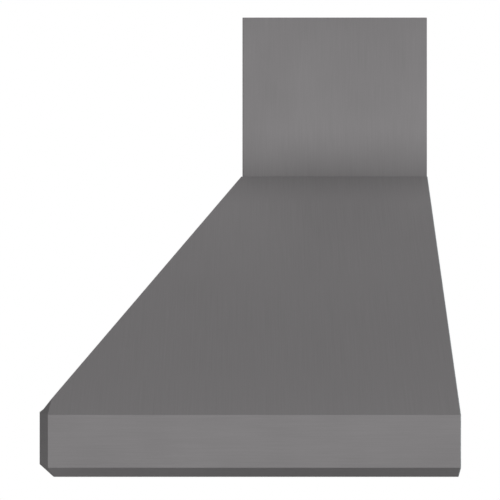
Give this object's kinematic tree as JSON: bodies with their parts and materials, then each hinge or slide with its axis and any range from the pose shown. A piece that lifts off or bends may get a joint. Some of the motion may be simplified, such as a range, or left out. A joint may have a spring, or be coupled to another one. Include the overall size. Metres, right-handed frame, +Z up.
{
  "type": "range hood",
  "caption": "Wall-mounted canopy range hood in satin steel with a duct cover, sloped panels, lip band, baffle filters, lamps, knobs, blower and damper.",
  "frame": {"origin": "on the wall plane at the middle of the back panel's lower edge", "axes": "+Z up, +Y into the wall, front of the hood towards -Y, +X across the hood"},
  "size_m": [0.762, 0.6096, 0.7265],
  "materials": {
    "shell_steel": "satin stainless steel",
    "tray_steel": "satin stainless steel",
    "filter_steel": "bright stainless steel",
    "spring_steel": "bare spring steel",
    "galvanised_steel": "spangled zinc coat",
    "zinc_screws": "bright zinc plate",
    "damper_aluminium": "mill finish",
    "shaft_steel": "ground steel",
    "wheel_paint": "satin black coat",
    "motor_paint": "satin black coat",
    "capacitor_can": "drawn can",
    "isolator_rubber": "matt",
    "lamp_body": "die cast",
    "lens_glass": "frosted",
    "bezel_steel": "turned",
    "switch_plastic": "moulded",
    "knob_steel": "turned satin steel",
    "lead_sheath": "soft grey sheath"
  },
  "bodies": {
    "hood": {"lip_band": "shell_steel", "front_panel": "shell_steel", "left_side_panel": "shell_steel", "right_side_panel": "shell_steel", "duct_cover": "shell_steel", "front_sill": "tray_steel", "left_rail": "tray_steel", "right_rail": "tray_steel", "filter_divider": "tray_steel", "grease_trough": "tray_steel", "filter_left_clips": "spring_steel", "filter_right_clips": "spring_steel", "back_panel": "galvanised_steel", "top_plate": "galvanised_steel", "duct_cover_bracket": "galvanised_steel", "outlet_collar": "galvanised_steel", "blower_scroll": "galvanised_steel", "blower_side_left": "galvanised_steel", "blower_side_right": "galvanised_steel", "inlet_ring_left": "galvanised_steel", "inlet_ring_right": "galvanised_steel", "outlet_transition": "galvanised_steel", "motor_mount": "galvanised_steel", "capacitor_clamp": "galvanised_steel", "blower_hangers_left": "galvanised_steel", "blower_hangers_right": "galvanised_steel", "control_box": "galvanised_steel", "junction_box": "galvanised_steel", "junction_box_cover": "galvanised_steel", "duct_cover_screws": "zinc_screws", "collar_screws": "zinc_screws", "blower_screws": "zinc_screws", "knob_nuts": "zinc_screws", "damper_rod": "shaft_steel", "motor": "motor_paint", "capacitor": "capacitor_can", "blower_isolators": "isolator_rubber", "lamp_bodies": "lamp_body", "lamp_lenses": "lens_glass", "lamp_bezels": "bezel_steel", "fan_switch": "switch_plastic", "light_switch": "switch_plastic", "lead_clips": "switch_plastic", "motor_lead": "lead_sheath", "control_lead": "lead_sheath", "lamp_leads": "lead_sheath"},
    "fan_wheel": {"impeller": "wheel_paint", "motor_shaft": "shaft_steel"},
    "front_flap": {"damper_flap_front": "damper_aluminium"},
    "rear_flap": {"damper_flap_rear": "damper_aluminium"},
    "fan_control": {"fan_knob": "knob_steel", "fan_spindle": "shaft_steel"},
    "light_control": {"light_knob": "knob_steel", "light_spindle": "shaft_steel"},
    "right_filter": {"filter_right_frame": "filter_steel", "filter_right_baffles": "filter_steel", "filter_right_handle": "filter_steel"},
    "left_filter": {"filter_left_frame": "filter_steel", "filter_left_baffles": "filter_steel", "filter_left_handle": "filter_steel"}
  },
  "joints": [
    {"name": "fan_wheel_spin", "type": "hinge", "parent": "hood", "child": "fan_wheel", "pos_m": [0, -0.24933, 0.262], "axis": [1, 0, 0], "continuous": true},
    {"name": "front_flap_swing", "type": "hinge", "parent": "hood", "child": "front_flap", "pos_m": [0, -0.1578, 0.4805], "axis": [-1, 0, 0], "range_deg": [0, 78]},
    {"name": "rear_flap_swing", "type": "hinge", "parent": "hood", "child": "rear_flap", "pos_m": [0, -0.1578, 0.4805], "axis": [1, 0, 0], "range_deg": [0, 78]},
    {"name": "fan_knob_turn", "type": "hinge", "parent": "hood", "child": "fan_control", "pos_m": [-0.045, -0.5236, 0.032], "axis": [0, 0, 1], "range_deg": [0, 270]},
    {"name": "light_knob_turn", "type": "hinge", "parent": "hood", "child": "light_control", "pos_m": [0.045, -0.5236, 0.032], "axis": [0, 0, 1], "range_deg": [0, 270]},
    {"name": "right_filter_swing", "type": "hinge", "parent": "hood", "child": "right_filter", "pos_m": [0.1815, -0.06, 0.055], "axis": [1, 0, 0], "range_deg": [0, 75], "deforming": ["filter_right_clips"]},
    {"name": "left_filter_swing", "type": "hinge", "parent": "hood", "child": "left_filter", "pos_m": [-0.1815, -0.06, 0.055], "axis": [1, 0, 0], "range_deg": [0, 75], "deforming": ["filter_left_clips"]}
  ]
}
